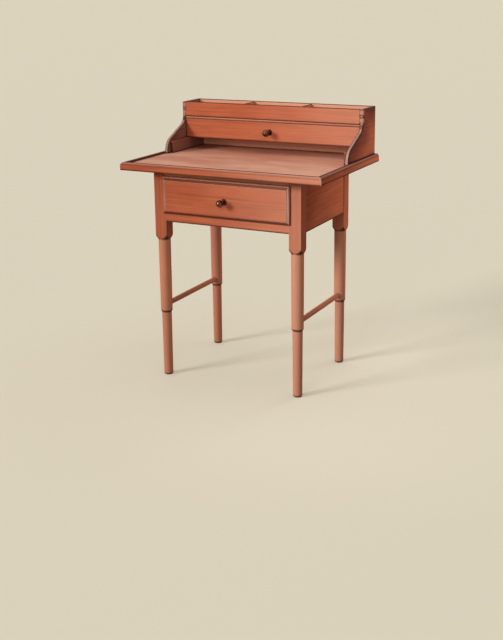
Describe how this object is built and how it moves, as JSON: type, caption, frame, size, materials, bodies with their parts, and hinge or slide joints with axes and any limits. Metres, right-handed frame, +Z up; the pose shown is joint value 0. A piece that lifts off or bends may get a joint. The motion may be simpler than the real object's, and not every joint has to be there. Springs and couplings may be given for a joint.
{
  "type": "sewing desk",
  "caption": "Small wooden sewing desk on turned legs, with a rimmed top, a lipped drawer below it and a low gallery above that holds a shallow drawer and a divided tray.",
  "frame": {"origin": "on the floor, below the middle of the top's outline", "axes": "+X to the sitter's right, +Y to the gallery at the back, +Z up; the drawers open to -Y"},
  "size_m": [0.66, 0.46, 0.834],
  "materials": {
    "stained_wood": "thin red stain under a soft worn varnish",
    "worn_top": "red stain worn pale and smooth by use",
    "tray_wood": "thin pale wash of stain, nearly matt",
    "bare_wood": "unstained and planed",
    "aged_brass": "aged brown, rubbed bright on the ball",
    "iron": "dark and dull"
  },
  "bodies": {
    "desk": {"apron_back": "stained_wood", "apron_left": "stained_wood", "apron_right": "stained_wood", "back_nails": "iron", "cleat_left": "stained_wood", "cleat_right": "stained_wood", "gallery_back": "stained_wood", "gallery_screws": "iron", "gallery_side_left": "stained_wood", "gallery_side_right": "stained_wood", "guide_left": "bare_wood", "guide_right": "bare_wood", "kicker_left": "bare_wood", "kicker_right": "bare_wood", "leg_back_left": "stained_wood", "leg_back_right": "stained_wood", "leg_front_left": "stained_wood", "leg_front_right": "stained_wood", "lower_front_rail": "stained_wood", "rim_front": "stained_wood", "rim_left": "stained_wood", "rim_right": "stained_wood", "runner_left": "bare_wood", "runner_right": "bare_wood", "stretcher_left": "stained_wood", "stretcher_right": "stained_wood", "top_board": "worn_top", "top_screws": "iron", "tray_divider_left": "tray_wood", "tray_divider_right": "tray_wood", "tray_floor": "tray_wood", "tray_front": "stained_wood", "upper_front_rail": "stained_wood"},
    "main_drawer": {"main_drawer_back": "bare_wood", "main_drawer_bottom": "bare_wood", "main_drawer_front": "stained_wood", "main_drawer_knob": "aged_brass", "main_drawer_knob_screw": "iron", "main_drawer_nails": "iron", "main_drawer_side_left": "bare_wood", "main_drawer_side_right": "bare_wood"},
    "small_drawer": {"small_drawer_back": "bare_wood", "small_drawer_bottom": "bare_wood", "small_drawer_front": "stained_wood", "small_drawer_knob": "aged_brass", "small_drawer_knob_screw": "iron", "small_drawer_nails": "iron", "small_drawer_side_left": "bare_wood", "small_drawer_side_right": "bare_wood"}
  },
  "joints": [
    {"name": "main_drawer_slide", "type": "slide", "parent": "desk", "child": "main_drawer", "axis": [0, -1, 0], "range_m": [0, 0.26]},
    {"name": "small_drawer_slide", "type": "slide", "parent": "desk", "child": "small_drawer", "axis": [0, -1, 0], "range_m": [0, 0.07]}
  ]
}
